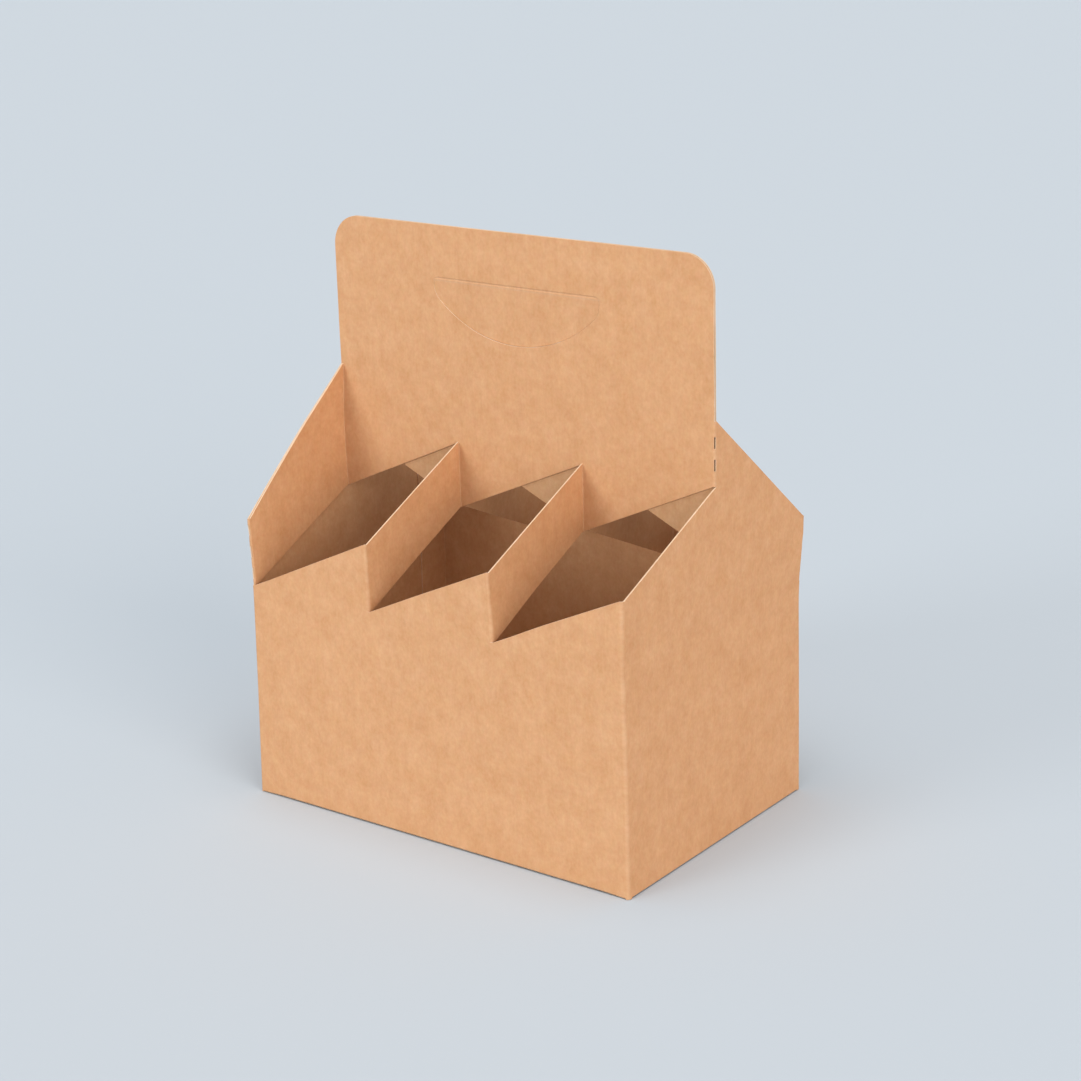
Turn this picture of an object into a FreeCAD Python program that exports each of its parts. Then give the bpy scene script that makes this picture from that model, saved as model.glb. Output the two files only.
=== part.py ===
"""Six-cell bottle carrier, cut from one sheet of kraft board, folded and glued.

The frame has X along the carrier, Y from the front to the back and Z up. Its origin is the middle
of the footprint. The carrier is the same after half a turn about Z, apart from its glued corner, so
most panels come from functions with a side: 1 is the front half and -1 the same half turned round.

The sheet runs from the left end wall along the front, the right end and the back to a glue flap.
Over each cell the rim is a ramp. What the ramps leave are straps, which fold back between the
bottles and turn again into one of the two plies of the upright handle. At two corners the high half
of the end wall is folded flat on itself, and its lining ply turns into the handle as well.
"""
import FreeCAD
import Part
import Sketcher
import math
import os

# name, millimetres, what it is
SIZES = (
    ("cell_pitch", 70.2, "distance between neighbouring dividers along the carrier"),
    ("carrier_depth", 141.6, "outside of the front wall to outside of the back wall"),
    ("board", 0.7, "thickness of the board"),
    ("fold_inside", 0.4, "inside radius of each fold"),
    ("ply_gap", 0.2, "air between two plies where the board is folded back on itself"),
    ("half_turn_setback", 0.3, "how far a half-turn fold stands back from the plain corner below it"),
    ("rim_low", 104.0, "low end of the rim's ramp over each cell"),
    ("rim_rise", 31.5, "how much the ramp rises"),
    ("end_rise", 31.5, "from the ramp's top to where an end wall's lower rim meets the handle"),
    ("shoulder_rise", 29.0, "from there to where its upper rim meets the handle"),
    ("corner_rise", 31.0, "from the ramp's low end to the top of a doubled corner"),
    ("handle_rise", 72.0, "from the shoulder to the handle's top edge"),
    ("handle_corner", 14.5, "radius of the handle's top corners"),
    ("handle_setback", 0.4, "from an end wall's outside to the handle's free edge"),
    ("grip_depth", 24.8, "from the handle's top edge to the crease of the hand-hole's tabs"),
    ("grip_height", 26.7, "from that crease to the lowest point of the hand-hole"),
    ("grip_width", 92.0, "width of the hand-hole"),
    ("grip_side", 3.0, "straight part of the hand-hole's sides"),
    ("grip_corner", 9.0, "radius of the hand-hole's lower corners"),
    ("grip_clearance", 0.3, "gap between the tabs and the hand-hole"),
    ("floor_taper", 2.0, "how much a floor flap narrows at each side of its free edge"),
    ("floor_slit", 0.8, "gap between the two floor flaps"),
    ("lock_reach", 20.0, "how far a floor flap's tongue laps over the other flap"),
    ("lock_root", 12.0, "how far the tongue lies back over its own flap"),
    ("lock_spacing", 3.0, "from the tongue's ends to the middle and to the end flap"),
    ("lock_corner", 8.0, "radius of the tongue's free corners"),
    ("end_flap_reach", 46.0, "from an end wall's outside to its floor flap's free edge"),
    ("end_flap_setback", 2.5, "from a long wall's outside to an end flap's fold"),
    ("end_flap_taper", 24.0, "how much an end flap narrows at each side"),
    ("seam_width", 18.0, "width of the glue flap"),
    ("seam_taper", 6.0, "how much the glue flap narrows at its top and bottom"),
    ("seam_setback", 0.3, "from the back wall's outside to the seam's cut edge"),
    ("nick_length", 5.3, "length of one cut along a nicked fold"),
    ("nick_pitch", 10.0, "distance between the cuts along a nicked fold"),
    ("nick_margin", 0.2, "how much wider a cut's drill is than the board's thickness"),
)
CELLS_PER_SIDE = 3
SIDES = {1: "front", -1: "back"}
ENDS = {1: "right", -1: "left"}
# the body's own plane, and the sense of its normal along the world axis
PLANES = {"XY": ("XY_Plane", 1), "XZ": ("XZ_Plane", -1), "YZ": ("YZ_Plane", 1)}
LEFT, RIGHT = 1, -1
NORTH, EAST, SOUTH, WEST = (0, 1), (1, 0), (0, -1), (-1, 0)


class Size:
    """A length with its number and the spreadsheet formula that gives it."""

    def __init__(self, number, formula):
        self.number = number
        self.formula = formula

    def __add__(self, other):
        other = as_size(other)
        return Size(self.number + other.number, "(%s + %s)" % (self.formula, other.formula))

    def __sub__(self, other):
        other = as_size(other)
        return Size(self.number - other.number, "(%s - %s)" % (self.formula, other.formula))

    def __mul__(self, other):
        other = as_size(other)
        return Size(self.number * other.number, "(%s * %s)" % (self.formula, other.formula))

    def __truediv__(self, other):
        other = as_size(other)
        return Size(self.number / other.number, "(%s / %s)" % (self.formula, other.formula))

    def __neg__(self):
        return self * -1


def as_size(value):
    return value if isinstance(value, Size) else Size(value, str(value))


def fill_sheet(document):
    """Writes the sizes to the spreadsheet and gives back a Size for each alias."""
    sheet = document.addObject("Spreadsheet::Sheet", "sizes")
    sizes = {}
    for row, (alias, number, note) in enumerate(SIZES, start=1):
        sheet.set("A%d" % row, alias)
        sheet.set("B%d" % row, str(number))
        sheet.setAlias("B%d" % row, alias)
        sheet.set("C%d" % row, note)
        sizes[alias] = Size(number, "sizes." + alias)
    document.recompute()
    return sizes


def plane_of(body, role):
    return next(feature for feature in body.Origin.OriginFeatures if feature.Role == role)


def new_sketch(body, name, plane, low):
    """A sketch on one of the body's own planes, moved along the plane's world axis to low."""
    role, sense = PLANES[plane]
    sketch = body.newObject("Sketcher::SketchObject", name + "_outline")
    sketch.AttachmentSupport = [(plane_of(body, role), "")]
    sketch.MapMode = "FlatFace"
    sketch.setExpression("AttachmentOffset.Base.z", (low * sense).formula)
    return sketch


def bind(sketch, kind, elements, size):
    """Adds a dimension to the sketch and ties it to the spreadsheet."""
    index = sketch.addConstraint(Sketcher.Constraint(kind, *elements, size.number))
    sketch.setExpression("Constraints[%d]" % index, size.formula)


def place(sketch, element, point, x, y):
    """Fixes a point of an element of the sketch at x and y."""
    bind(sketch, "DistanceX", (-1, 1, element, point), as_size(x))
    bind(sketch, "DistanceY", (-1, 1, element, point), as_size(y))


def arc_between(start, end, radius, turn):
    """The arc of under half a turn from start to end, turning left or right on the way."""
    chord = end - start
    rise = math.sqrt(max(radius ** 2 - (chord.Length / 2) ** 2, 0.0))
    across = FreeCAD.Vector(-chord.y, chord.x, 0).normalize()
    centre = (start + end) / 2 + across * rise * turn
    first, last = (start, end) if turn == LEFT else (end, start)
    low, high = [math.atan2(point.y - centre.y, point.x - centre.x) for point in (first, last)]
    if high < low:
        high += 2 * math.pi
    return Part.ArcOfCircle(Part.Circle(centre, FreeCAD.Vector(0, 0, 1), radius), low, high)


def draw_outline(sketch, corners):
    """Draws a closed outline through the corners.

    Each corner is (x, y), or (x, y, radius, turn) where an arc leads from it to the next corner.
    """
    points = [FreeCAD.Vector(as_size(x).number, as_size(y).number, 0) for x, y, *arc in corners]
    tips = []
    for index, (x, y, *arc) in enumerate(corners):
        start, end = points[index], points[(index + 1) % len(points)]
        if not arc:
            sketch.addGeometry(Part.LineSegment(start, end), False)
            tips.append((1, 2))
            continue
        radius, turn = arc
        sketch.addGeometry(arc_between(start, end, radius.number, turn), False)
        tips.append((1, 2) if turn == LEFT else (2, 1))
        bind(sketch, "Radius", (index,), radius)
    for index, (x, y, *arc) in enumerate(corners):
        after = (index + 1) % len(corners)
        sketch.addConstraint(Sketcher.Constraint("Coincident", index, tips[index][1], after, tips[after][0]))
        place(sketch, index, tips[index][0], x, y)


def extrude(body, kind, name, sketch, forward, length):
    """Pads or pockets the sketch by length, with its normal (forward) or against it."""
    feature = body.newObject("PartDesign::" + kind, name)
    feature.Profile = sketch
    feature.setExpression("Length", length.formula)
    feature.Reversed = forward == (kind == "Pocket")


def pad(body, name, plane, low, length, corners):
    """A slab whose outline lies at low and which is length thick along the plane's world axis."""
    sketch = new_sketch(body, name, plane, low)
    draw_outline(sketch, corners)
    extrude(body, "Pad", name, sketch, PLANES[plane][1] > 0, length)


def turned_plan(corners, side):
    """A plan outline on its half of the carrier: side -1 turns it half round."""
    return [(as_size(x) * side, as_size(y) * side, *arc) for x, y, *arc in corners]


def turned_elevation(corners, side):
    """An elevation on its half of the carrier: side -1 mirrors it, so its arcs turn the other way."""
    result = []
    for x, y, *arc in corners:
        if arc:
            radius, turn = arc
            arc = [radius, turn * side]
        result.append((as_size(x) * side, y, *arc))
    return result


def turned_low(low, length, side):
    """The low face of a slab that reaches from low along the axis, on its half of the carrier."""
    return low if side > 0 else -(low + length)


class Carrier:
    """The heights and places that the panels share, in the front half's frame."""

    def __init__(self, sizes):
        self.size = sizes
        self.board = sizes["board"]
        self.inner = sizes["fold_inside"]
        self.outer = self.inner + self.board
        self.half_length = sizes["cell_pitch"] * CELLS_PER_SIDE / 2
        self.half_depth = sizes["carrier_depth"] / 2
        self.dividers = [sizes["cell_pitch"] * cell - self.half_length
                         for cell in range(1, CELLS_PER_SIDE)]
        # heights
        self.rim_low = sizes["rim_low"]
        self.rim_peak = self.rim_low + sizes["rim_rise"]
        self.end_peak = self.rim_peak + sizes["end_rise"]
        self.shoulder = self.end_peak + sizes["shoulder_rise"]
        self.corner_peak = self.rim_low + sizes["corner_rise"]
        self.handle_top = self.shoulder + sizes["handle_rise"]
        self.end_lift = self.board + self.outer
        # along the carrier: the flat part of the walls, and the lining ply of the doubled corner
        self.wall_end = self.half_length - self.outer
        self.lining_low = -self.half_length + self.board + sizes["ply_gap"]
        self.lining_face = self.lining_low + self.board
        # across it: where the end walls' flat part starts, and where a strap turns into the handle
        self.wall_start = -self.half_depth + self.outer
        self.lining_start = self.wall_start + sizes["half_turn_setback"]
        self.strap_end = -self.board - self.inner


def fold_section(carrier, centre, start, end):
    """Section of a quarter fold about centre, from one direction of the axes to the next."""
    turn = LEFT if start[0] * end[1] - start[1] * end[0] > 0 else RIGHT
    return [(*reach(centre, start, carrier.outer), carrier.outer, turn),
            reach(centre, end, carrier.outer),
            (*reach(centre, end, carrier.inner), carrier.inner, -turn),
            reach(centre, start, carrier.inner)]


def reach(centre, way, radius):
    """The point at radius from centre in one direction of the axes."""
    return (as_size(centre[0]) + radius * way[0], as_size(centre[1]) + radius * way[1])


def upright_fold(body, carrier, name, side, section, bottom, top):
    """A fold that stands upright, from its section in plan."""
    pad(body, name, "XY", bottom, top - bottom, turned_plan(section, side))


def handle_ply(body, carrier, side):
    """One of the handle's two plies, with a ramp over each cell along its lower edge."""
    faces = [carrier.lining_face] + carrier.dividers
    starts = [face + carrier.inner for face in faces]
    corners = []
    for start, end in zip(starts, starts[1:] + [carrier.wall_end]):
        corners += [(start, carrier.rim_peak), (end, carrier.end_peak)]
    end = carrier.half_length - carrier.size["handle_setback"]
    radius = carrier.size["handle_corner"]
    top = carrier.handle_top
    corners += [(carrier.wall_end, carrier.shoulder), (end, carrier.shoulder),
                (end, top - radius, radius, LEFT), (end - radius, top),
                (-(end - radius), top, radius, LEFT), (-end, top - radius),
                (-end, carrier.shoulder), (starts[0], carrier.shoulder)]
    low = turned_low(-carrier.board, carrier.board, side)
    pad(body, SIDES[side] + "_handle_ply", "XZ", low, carrier.board, turned_elevation(corners, side))


def grip_outline(carrier, inset):
    """The hand-hole drawn in by inset: a crease, two sides, two corners and one long arc."""
    size = carrier.size
    crease = carrier.handle_top - size["grip_depth"]
    corner_z = crease - size["grip_side"]
    bottom = crease - size["grip_height"]
    corner_x = size["grip_width"] / 2 - size["grip_corner"]
    lift = corner_z - bottom
    # the arc that touches both corners from outside and the lowest point from above
    squares = corner_x * corner_x + lift * lift - size["grip_corner"] * size["grip_corner"]
    arc = squares / ((lift - size["grip_corner"]) * 2)
    share = (arc - inset) / (arc - size["grip_corner"])
    meet_x = corner_x * share
    meet_z = bottom + arc - (arc - lift) * share
    half = size["grip_width"] / 2 - inset
    radius = size["grip_corner"] - inset
    return [(half, crease - inset), (-half, crease - inset), (-half, corner_z, radius, LEFT),
            (-meet_x, meet_z, arc - inset, LEFT), (meet_x, meet_z, radius, LEFT), (half, corner_z)]


def hand_hole(body, carrier, side):
    """The hand-hole's cut through one ply of the handle."""
    name = SIDES[side] + "_hand_hole"
    sketch = new_sketch(body, name, "XZ", turned_low(-carrier.board, carrier.board, side))
    draw_outline(sketch, grip_outline(carrier, as_size(0)))
    extrude(body, "Pocket", name, sketch, False, carrier.board)


def nicks(body, carrier, name, side, count, centre, bottom, top):
    """The row of short cuts that lets a fold close sharply."""
    size = carrier.size
    pitch = size["nick_pitch"]
    first = bottom + (top - bottom - size["nick_length"] - pitch * (count - 1)) / 2
    radius = (carrier.board + size["nick_margin"]) / 2
    ((x, y),) = turned_plan([centre], side)
    for cut in range(count):
        label = "%s_%d" % (name, cut + 1)
        sketch = new_sketch(body, label, "XY", first + pitch * cut)
        middle = FreeCAD.Vector(x.number, y.number, 0)
        sketch.addGeometry(Part.Circle(middle, FreeCAD.Vector(0, 0, 1), radius.number), False)
        bind(sketch, "Radius", (0,), radius)
        place(sketch, 0, 3, x, y)
        extrude(body, "Pocket", label, sketch, True, size["nick_length"])


def handle_end_fold(body, carrier, side):
    """The nicked fold between a handle ply and the high half of an end wall."""
    centre = (carrier.wall_end, carrier.inner)
    name = ENDS[side] + "_handle"
    upright_fold(body, carrier, name + "_fold", side, fold_section(carrier, centre, SOUTH, EAST),
                 carrier.end_peak, carrier.shoulder)
    slant = (carrier.inner + carrier.board / 2) * math.sqrt(0.5)
    nicks(body, carrier, name + "_nick", side, 2, (centre[0] + slant, centre[1] - slant),
          carrier.end_peak, carrier.shoulder)


def ply_handle_fold(body, carrier, name, side, face, top):
    """The fold between a handle ply and a strap or lining, whose face is given."""
    centre = (face + carrier.inner, carrier.strap_end)
    upright_fold(body, carrier, name, side, fold_section(carrier, centre, WEST, NORTH),
                 carrier.rim_peak, top)


def lining(body, carrier, side):
    """The lining ply, its fold into the handle and the nicked half-turn fold at the corner."""
    name = SIDES[side] + "_lining"
    ply_handle_fold(body, carrier, name + "_handle_fold", side, carrier.lining_face, carrier.shoulder)
    ply = [(carrier.lining_start, carrier.rim_low), (carrier.strap_end, carrier.rim_peak),
           (carrier.strap_end, carrier.shoulder), (carrier.lining_start, carrier.corner_peak)]
    low = turned_low(carrier.lining_low, carrier.board, side)
    pad(body, name, "YZ", low, carrier.board, turned_elevation(ply, side))
    inside = carrier.size["ply_gap"] / 2
    outside = inside + carrier.board
    centre = (carrier.lining_low - inside, carrier.lining_start)
    section = [(*reach(centre, WEST, outside), outside, LEFT),
               (*reach(centre, SOUTH, outside), outside, LEFT),
               reach(centre, EAST, outside),
               (*reach(centre, EAST, inside), inside, RIGHT),
               (*reach(centre, SOUTH, inside), inside, RIGHT),
               reach(centre, WEST, inside)]
    upright_fold(body, carrier, name + "_fold", side, section, carrier.rim_low, carrier.corner_peak)
    nicks(body, carrier, name + "_nick", side, 3, reach(centre, SOUTH, inside + carrier.board / 2),
          carrier.rim_low, carrier.corner_peak)


def end_wall(body, carrier, side):
    """Right or left wall: a low half, a step where the handle turns in, and a high half."""
    first = carrier.wall_start
    if side < 0:
        first = carrier.size["seam_setback"] - carrier.half_depth
    last = carrier.half_depth - carrier.outer
    step = carrier.inner
    corners = [(first, carrier.end_lift), (last, carrier.end_lift), (last, carrier.rim_low),
               (-carrier.lining_start, carrier.rim_low), (-carrier.lining_start, carrier.corner_peak),
               (step, carrier.shoulder), (step, carrier.end_peak), (first, carrier.rim_peak)]
    low = turned_low(carrier.half_length - carrier.board, carrier.board, side)
    pad(body, ENDS[side] + "_wall", "YZ", low, carrier.board, turned_elevation(corners, side))


def strap(body, carrier, side, number, divider):
    """A divider: it folds back from the long wall's step and turns into the handle ply."""
    name = "%s_strap_%d" % (SIDES[side], number)
    ply_handle_fold(body, carrier, name + "_handle_fold", side, divider, carrier.end_peak)
    ply = [(carrier.wall_start, carrier.rim_low), (carrier.strap_end, carrier.rim_peak),
           (carrier.strap_end, carrier.end_peak), (carrier.wall_start, carrier.rim_peak)]
    low = turned_low(divider - carrier.board, carrier.board, side)
    pad(body, name, "YZ", low, carrier.board, turned_elevation(ply, side))
    centre = (divider - carrier.outer, carrier.wall_start)
    upright_fold(body, carrier, name + "_wall_fold", side, fold_section(carrier, centre, SOUTH, EAST),
                 carrier.rim_low, carrier.rim_peak)


def long_wall(body, carrier, side):
    """Front or back wall, with the rim's ramps and the steps that the straps fold away from."""
    far_end = carrier.wall_end if side > 0 else carrier.wall_end - carrier.board
    corners = [(-carrier.wall_end, carrier.outer), (far_end, carrier.outer), (far_end, carrier.rim_peak)]
    for divider in reversed(carrier.dividers):
        fold_start = divider - carrier.outer
        corners += [(divider, carrier.rim_low), (fold_start, carrier.rim_low),
                    (fold_start, carrier.rim_peak)]
    corners.append((-carrier.wall_end, carrier.rim_low))
    low = turned_low(-carrier.half_depth, carrier.board, side)
    pad(body, SIDES[side] + "_wall", "XZ", low, carrier.board, turned_elevation(corners, side))


def doubled_corner(body, carrier, side):
    """The plain lower part of the corner that is doubled above the rim's low end."""
    centre = (-carrier.wall_end, carrier.wall_start)
    upright_fold(body, carrier, SIDES[side] + "_doubled_corner", side,
                 fold_section(carrier, centre, WEST, SOUTH), carrier.end_lift, carrier.rim_low)


def plain_corner(body, carrier):
    """The corner between the front wall and the right wall."""
    centre = (carrier.wall_end, carrier.wall_start)
    upright_fold(body, carrier, "plain_corner", 1, fold_section(carrier, centre, SOUTH, EAST),
                 carrier.end_lift, carrier.rim_peak)


def glued_corner(body, carrier):
    """The seam: the back wall's flap turns in and is glued behind the left wall."""
    centre = (carrier.wall_end - carrier.board, carrier.wall_start)
    upright_fold(body, carrier, "glue_flap_fold", -1, fold_section(carrier, centre, SOUTH, EAST),
                 carrier.end_lift, carrier.rim_peak)
    free_edge = carrier.wall_start + carrier.size["seam_width"]
    taper = carrier.size["seam_taper"]
    corners = [(carrier.wall_start, carrier.end_lift), (free_edge, carrier.end_lift + taper),
               (free_edge, carrier.rim_peak - taper), (carrier.wall_start, carrier.rim_peak)]
    low = turned_low(carrier.half_length - carrier.board * 2, carrier.board, -1)
    pad(body, "glue_flap", "YZ", low, carrier.board, turned_elevation(corners, -1))


def floor_flap(body, carrier, side):
    """A long wall's floor flap and the tongue that locks it over the other one."""
    size = carrier.size
    half = carrier.wall_end
    name = SIDES[side] + "_floor"
    section = fold_section(carrier, (carrier.wall_start, carrier.outer), WEST, SOUTH)
    pad(body, name + "_fold", "YZ", -half, half * 2, turned_elevation(section, side))
    free = -size["floor_slit"] / 2
    narrow = half - size["floor_taper"]
    flap = [(-half, carrier.wall_start), (half, carrier.wall_start), (narrow, free), (-narrow, free)]
    pad(body, name + "_flap", "XY", as_size(0), carrier.board, turned_plan(flap, side))
    outer = size["end_flap_reach"] + size["lock_spacing"] - carrier.half_length
    inner = -size["lock_spacing"]
    radius = size["lock_corner"]
    tip = size["lock_reach"]
    tongue = [(outer, -size["lock_root"]), (inner, -size["lock_root"]),
              (inner, tip - radius, radius, LEFT), (inner - radius, tip),
              (outer + radius, tip, radius, LEFT), (outer, tip - radius)]
    pad(body, name + "_tongue", "XY", carrier.board, carrier.board, turned_plan(tongue, side))


def end_flap(body, carrier, side):
    """An end wall's floor flap, glued on top of the two long ones."""
    size = carrier.size
    half = carrier.half_depth - size["end_flap_setback"]
    name = ENDS[side] + "_floor"
    section = fold_section(carrier, (carrier.wall_end, carrier.end_lift), EAST, SOUTH)
    pad(body, name + "_fold", "XZ", -half, half * 2, turned_elevation(section, side))
    free = carrier.half_length - size["end_flap_reach"]
    narrow = half - size["end_flap_taper"]
    corners = [(carrier.wall_end, -half), (carrier.wall_end, half), (free, narrow), (free, -narrow)]
    pad(body, name + "_flap", "XY", carrier.board, carrier.board, turned_plan(corners, side))


def half_blank(document, carrier, side):
    """Half of the sheet, from its handle ply down to its floor flap."""
    body = document.addObject("PartDesign::Body", SIDES[side] + "_half")
    handle_ply(body, carrier, side)
    hand_hole(body, carrier, side)
    handle_end_fold(body, carrier, side)
    lining(body, carrier, side)
    for number, divider in enumerate(carrier.dividers, start=1):
        strap(body, carrier, side, number, divider)
    long_wall(body, carrier, side)
    doubled_corner(body, carrier, side)
    floor_flap(body, carrier, side)
    end_wall(body, carrier, side)
    end_flap(body, carrier, side)
    if side > 0:
        plain_corner(body, carrier)
    else:
        glued_corner(body, carrier)
    return body


def carrier_blank(document, carrier):
    """The whole folded sheet as one solid."""
    blank = document.addObject("Part::MultiFuse", "carrier_blank")
    blank.Label = "carrier_blank"
    blank.Shapes = [half_blank(document, carrier, side) for side in SIDES]
    blank.Refine = True
    return blank


def grip_tab(document, carrier, side):
    """The tab that closes the hand-hole in one ply; both tabs hang from the crease and swing back."""
    name = "grip_tab_" + SIDES[side]
    body = document.addObject("PartDesign::Body", name)
    body.Label = name
    low = turned_low(-carrier.board, carrier.board, side)
    pad(body, name + "_ply", "XZ", low, carrier.board,
        grip_outline(carrier, carrier.size["grip_clearance"]))
    return body


def check(document, nodes):
    """Stops if an object failed, a cut took nothing away, or a node is not one valid solid."""
    for item in document.Objects:
        if {"Invalid", "Error"} & set(item.State):
            raise RuntimeError(item.Name + " failed")
        is_cut = item.TypeId == "PartDesign::Pocket"
        if is_cut and item.Shape.Volume >= item.BaseFeature.Shape.Volume:
            raise RuntimeError(item.Name + " cuts nothing")
    for node in nodes:
        shape = node.Shape
        if shape.isNull() or not shape.isValid() or len(shape.Solids) != 1:
            raise RuntimeError(node.Label + " is not one valid solid")


def main():
    document = FreeCAD.newDocument("bottle_carrier")
    carrier = Carrier(fill_sheet(document))
    nodes = [carrier_blank(document, carrier)]
    nodes += [grip_tab(document, carrier, side) for side in SIDES]
    document.recompute()
    check(document, nodes)
    os.makedirs("parts", exist_ok=True)
    for node in nodes:
        node.Shape.exportStep("parts/%s.step" % node.Label)
        box = node.Shape.BoundBox
        print("%s: %.1f x %.1f x %.1f mm, %.1f cm3"
              % (node.Label, box.XLength, box.YLength, box.ZLength, node.Shape.Volume / 1000))


main()
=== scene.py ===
"""Looks of the six-cell bottle carrier: one folded sheet of kraft board and the two tabs of its hand-hole.

The frame has X along the carrier, Y from front to back and Z up, in metres. The sheet is built from its
middle surface: flat panels and rounded folds that share their edges. Each point also has its place on the
flat blank, so that the board's fibres run on over the folds. The carrier is the same after half a turn
about Z, apart from the glued corner, so most functions have a side: 1 is the front half, -1 the back.
"""
import bpy
import math
from mathutils import Matrix, Vector, geometry, noise


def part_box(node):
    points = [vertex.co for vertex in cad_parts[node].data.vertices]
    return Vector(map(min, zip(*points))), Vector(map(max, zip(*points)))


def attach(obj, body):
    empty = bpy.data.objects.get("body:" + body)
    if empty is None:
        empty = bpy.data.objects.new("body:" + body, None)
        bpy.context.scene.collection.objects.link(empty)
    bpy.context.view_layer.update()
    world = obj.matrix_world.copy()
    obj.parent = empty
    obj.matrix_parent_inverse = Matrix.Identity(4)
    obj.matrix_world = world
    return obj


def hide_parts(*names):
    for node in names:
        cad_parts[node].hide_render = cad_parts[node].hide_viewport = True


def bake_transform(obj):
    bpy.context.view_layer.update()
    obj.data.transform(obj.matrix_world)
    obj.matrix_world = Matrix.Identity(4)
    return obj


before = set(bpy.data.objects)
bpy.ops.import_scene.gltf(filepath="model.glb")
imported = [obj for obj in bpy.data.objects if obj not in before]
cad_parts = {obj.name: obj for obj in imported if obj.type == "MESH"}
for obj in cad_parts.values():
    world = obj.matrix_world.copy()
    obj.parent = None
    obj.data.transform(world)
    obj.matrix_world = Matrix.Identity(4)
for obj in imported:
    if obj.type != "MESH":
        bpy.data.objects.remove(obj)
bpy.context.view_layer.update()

MM = 0.001
FRONT, BACK = 1, -1
# directions about an axis, in degrees
SOUTH, EAST, NORTH, WEST = -90.0, 0.0, 90.0, 180.0

# ---------------------------------------------------------------- sizes of the sheet
HIGH_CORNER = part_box("carrier_blank")[1]
HALF_LENGTH = HIGH_CORNER.x
HALF_DEPTH = HIGH_CORNER.y
TOP = HIGH_CORNER.z
BOARD = 0.7 * MM
# a fold's inner radius
INSIDE = 0.4 * MM
# between a lining and its wall
PLY_GAP = 0.2 * MM
# heights: the low ends and the peaks of the rim, the peaks at the handle, the handle's shoulder and the
# top of a doubled corner
RIM_LOW = 104.0 * MM
RIM_PEAK = 135.5 * MM
END_PEAK = 167.0 * MM
SHOULDER = 196.0 * MM
CORNER_PEAK = 135.0 * MM
# how much further in than a plain corner a doubled one folds
HALF_TURN_SETBACK = 0.3 * MM
# radius of the handle's corners, and how far its ends stay inside the end walls
HANDLE_CORNER = 14.5 * MM
HANDLE_SETBACK = 0.4 * MM
# the hand-hole: crease, lowest point, half its width, straight sides, corners and the cut round its tabs
GRIP_CREASE = TOP - 24.8 * MM
GRIP_BOTTOM = GRIP_CREASE - 26.7 * MM
GRIP_HALF = 46.0 * MM
GRIP_SIDE = 3.0 * MM
GRIP_CORNER = 9.0 * MM
GRIP_SLIT = 0.15 * MM
# the long floor flaps, and their tongues' reach past the middle, spacing and corners
FLOOR_TAPER = 2.0 * MM
FLOOR_SLIT = 0.8 * MM
LOCK_REACH = 20.0 * MM
LOCK_SPACING = 3.0 * MM
LOCK_CORNER = 8.0 * MM
# the end floor flaps
FLAP_REACH = 46.0 * MM
FLAP_SETBACK = 2.5 * MM
FLAP_TAPER = 24.0 * MM
# the glue flap, and how far the wall glued on it stays inside the corner
SEAM_WIDTH = 18.0 * MM
SEAM_TAPER = 6.0 * MM
SEAM_SETBACK = 0.3 * MM
# the short cuts along a nicked fold
NICK_LENGTH = 5.3 * MM
NICK_PITCH = 10.0 * MM
NICK_WIDTH = 0.5 * MM
# a strap's fold is looser at its lower end, where the cut lets the board spread, and so is the
# long fold between the front and the right wall
STRAP_FOLD_SPREAD = 0.7 * MM
CORNER_FOLD_SPREAD = 0.6 * MM
# the lower end of the corners, where the slits between the floor flaps end
CORNER_FOOT = 0.1 * MM

# ---------------------------------------------------------------- what follows from them
# a fold's outer radius, its radius in the middle of the board and the length of a quarter turn there
OUTSIDE = INSIDE + BOARD
MIDDLE = INSIDE + BOARD / 2
QUARTER = MIDDLE * math.pi / 2
PITCH = HALF_LENGTH * 2 / 3
DIVIDERS = (PITCH - HALF_LENGTH, PITCH * 2 - HALF_LENGTH)
# the middle of a ply that lies on another one
SECOND_PLY = BOARD * 1.5
# the height where an end wall starts, over the fold into its floor flap, which lies on the long ones
END_LIFT = OUTSIDE + BOARD
# where a long wall ends and an end wall starts, at the fold between them
WALL_END = HALF_LENGTH - OUTSIDE
WALL_START = OUTSIDE - HALF_DEPTH
HALF_TURN_START = WALL_START + HALF_TURN_SETBACK
# where a strap turns into the handle, and the inner face of a lining
STRAP_END = -BOARD - INSIDE
LINING_FACE = BOARD * 2 + PLY_GAP - HALF_LENGTH
FLAP_HALF = HALF_DEPTH - FLAP_SETBACK
# lengths on the flat blank: from one half to the next, and of a strap with both its folds
HALF_BLANK = WALL_END * 2 - WALL_START * 2 + QUARTER * 2
STRAP_TO_HANDLE = STRAP_END - WALL_START + QUARTER * 2

# ---------------------------------------------------------------- fineness of the mesh
STEP = 4.0 * MM
# how clear of a panel's edges, and of its closer rows, the points of its inside stay
EDGE_CLEARANCE = STEP * 0.6
ROW_CLEARANCE = STEP * 0.4
ARC_STEP = 1.5 * MM
ARC_LEAST_PARTS = 3
QUARTER_COLUMNS = 8
HALF_COLUMNS = 12
# an uneven size, so that no place falls on the border between two
WELD = 1.2347e-6
# keeps a whole number of steps from being rounded up to one more
ROUNDING = 1e-6
# what delaunay_2d_cdt gives back: the triangles inside the outline
INSIDE_ONLY = 1
# closer rows of points above the crease that the hand-hole's tabs hang from, and those of its bend
CREASE_ROW = 0.15 * MM
CREASE_ROWS = tuple(CREASE_ROW * row for row in (1, 2, 3, 4, 5, 6, 7, 8, 12))
BEND_HEIGHT = 1.2 * MM
BEND_ROWS = 12


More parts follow.
